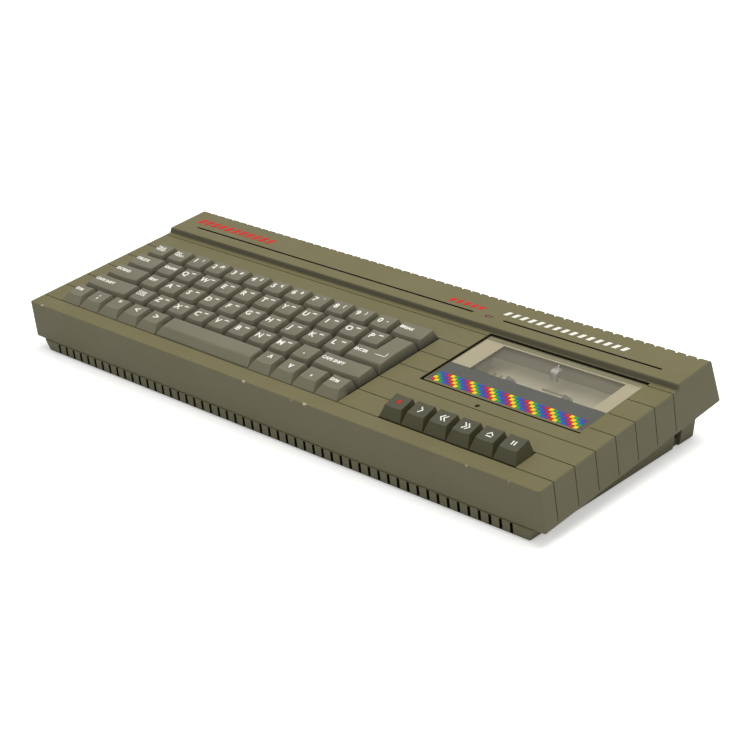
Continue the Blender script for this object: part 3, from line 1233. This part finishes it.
def make_flywheel(shop, metal):
    """The flywheel with its capstan, which stands up through the chassis."""
    top, base = belt_levels()
    profile = [(0, -CAPSTAN_TOP_DROP), (CAPSTAN_RADIUS, -CAPSTAN_TOP_DROP), (CAPSTAN_RADIUS, top),
               (FLYWHEEL_RADIUS, top), (FLYWHEEL_RADIUS, base), (0, base)]
    turned(shop, "flywheel", profile, metal, (*capstan_place(), 0))


def make_motor(shop, metal, brass):
    """The deck motor under its bracket, its pulley and the drive belt."""
    x, y = motor_place()
    top, base = belt_levels()
    motor_top = bracket_levels()[1] - SEAT_GAP
    motor = shop.piece("deck_motor", rods("deck_motor", [(x, y, 0)], MOTOR_RADIUS,
                                          motor_top - MOTOR_LENGTH, motor_top,
                                          segments=ROUND_SEGMENTS), metal)
    bore_end = motor_top - MOTOR_LENGTH / 3
    shop.cut(motor, rods("motor_bore", [(x, y, 0)], MOTOR_SHAFT_RADIUS + RUNNING_CLEARANCE, bore_end,
                         motor_top + OVERRUN))
    profile = [(0, top), (PULLEY_RADIUS, top), (PULLEY_RADIUS, base), (MOTOR_SHAFT_RADIUS, base),
               (MOTOR_SHAFT_RADIUS, bore_end + SEAT_GAP), (0, bore_end + SEAT_GAP)]
    turned(shop, "motor_pulley", profile, brass, (x, y, 0), SMALL_SEGMENTS)


def belt_outline(spare):
    """The loop round the flywheel and the motor pulley, a spare distance off both."""
    wheel, pulley = Vector(capstan_place()), Vector(motor_place())
    span = pulley - wheel
    bearing = math.atan2(span.y, span.x)
    spread = math.acos((FLYWHEEL_RADIUS - PULLEY_RADIUS) / span.length)
    points = []
    for middle, radius, start, end in ((wheel, FLYWHEEL_RADIUS, spread, math.tau - spread),
                                       (pulley, PULLEY_RADIUS, -spread, spread)):
        for step in range(ROUND_SEGMENTS + 1):
            angle = bearing + start + (end - start) * step / ROUND_SEGMENTS
            points.append(tuple(middle + Vector((math.cos(angle), math.sin(angle))) * (radius + spare)))
    return points


def make_drive_belt(shop, rubber):
    """The flat rubber belt from the motor pulley to the flywheel."""
    top, base = belt_levels()
    inset = FLYWHEEL_THICKNESS / 6
    belt = shop.piece("drive_belt", prism("drive_belt", belt_outline(BELT_GAP + BELT_THICKNESS),
                                          base + inset, top - inset, "Z"), rubber)
    shop.cut(belt, prism("belt_inside", belt_outline(BELT_GAP), base - OVERRUN, top + OVERRUN, "Z"))


def roller_place():
    """Middle of the pinch roller, one head travel in front of the capstan."""
    x, y = capstan_place()
    return (x, y - CAPSTAN_RADIUS - ROLLER_RADIUS - SEAT_GAP - bridge_travel())


def bridge_travel():
    """How far the play key's finger pushes the head bridge."""
    return math.radians(DECK_KEY_DEGREES) * KEY_FINGER_LENGTH


def make_head_bridge(shop, metal, rubber):
    """The sliding bridge with the tape head, the tab that the play key pushes, and the roller."""
    base = -CHASSIS_DROP + BRIDGE_GAP
    top = base + BRIDGE_PLATE
    rear = BRIDGE_FRONT + BRIDGE_DEPTH
    play = deck_key_left(DECK_KEY_NAMES.index("play")) + DECK_KEY_PITCH / 2
    tab_front = KEY_SHAFT.y + KEY_FINGER_THICKNESS / 2 + BRIDGE_TAB_GAP
    half = BRIDGE_TAB_WIDTH / 2
    x, y = roller_place()
    bridge = shop.piece("head_bridge", block("head_bridge",
                                             (play - half - BRIDGE_TAB_MARGIN, BRIDGE_FRONT, base),
                                             (x + BRIDGE_ROLLER_MARGIN, rear, top)), metal)
    sink = base + BRIDGE_PLATE / 2
    shop.join(bridge, block("tab_arm", (play - half, tab_front, base),
                            (play + half, BRIDGE_FRONT + OVERRUN, sink)))
    shop.join(bridge, block("tab", (play - half, tab_front, base),
                            (play + half, tab_front + BRIDGE_TAB_THICKNESS, base + BRIDGE_TAB_HEIGHT)))
    shop.join(bridge, block("tape_head", (LID_MIDDLE - HEAD_WIDTH / 2, rear - HEAD_DEPTH, sink),
                            (LID_MIDDLE + HEAD_WIDTH / 2, rear, top + HEAD_HEIGHT)))
    roller_base = top + SEAT_GAP
    shop.join(bridge, rods("roller_pin", [(x, y, 0)], ROLLER_PIN_RADIUS, sink,
                           roller_base + ROLLER_LENGTH))
    roller = shop.piece("pinch_roller", rods("pinch_roller", [(x, y, 0)], ROLLER_RADIUS, roller_base,
                                             roller_base + ROLLER_LENGTH, segments=ROUND_SEGMENTS),
                        rubber, (x, y, 0))
    shop.cut(roller, rods("roller_bore", [(x, y, 0)], ROLLER_PIN_RADIUS + RUNNING_CLEARANCE,
                          roller_base - OVERRUN, roller_base + ROLLER_LENGTH + OVERRUN))


def main():
    """Build every sub-part."""
    shop = Workshop()
    olive = shop.material("olive_plastic", (0.205, 0.185, 0.098), 0.5)
    grey = shop.material("grey_key_plastic", (0.115, 0.115, 0.095), 0.45)
    dark = shop.material("dark_key_plastic", (0.065, 0.065, 0.055), 0.45)
    black = shop.material("black_rubber", (0.02, 0.02, 0.02), 0.8)
    resin = shop.material("green_circuit_board", (0.03, 0.14, 0.06), 0.5)
    steel = shop.material("zinc_plated_steel", (0.55, 0.55, 0.56), 0.35, 1.0)
    brass = shop.material("turned_brass", (0.60, 0.45, 0.18), 0.3, 1.0)
    clear = shop.material("clear_acrylic", (0.80, 0.80, 0.78), 0.1, alpha=0.4)
    red = shop.material("red_lens", (0.50, 0.02, 0.02), 0.3)
    white = shop.material("white_nylon", (0.70, 0.70, 0.66), 0.5)

    make_upper_case(shop, olive)
    make_lower_case(shop, olive)
    make_keyboard_frame(shop, grey)
    make_keys(shop, grey)
    make_key_mat(shop, black)
    make_main_board(shop, resin)
    make_modulator(shop, steel)
    make_power_led(shop, red)
    make_reset_button(shop, dark)
    make_deck_chassis(shop, steel)
    make_deck_key_shaft(shop, steel)
    make_deck_keys(shop, dark)
    make_cassette_lid(shop, olive)
    make_lid_window(shop, clear)
    make_lid_spring(shop, steel)
    make_spindles(shop, white)
    make_flywheel(shop, brass)
    make_motor(shop, steel, brass)
    make_drive_belt(shop, black)
    make_head_bridge(shop, steel, black)


main()
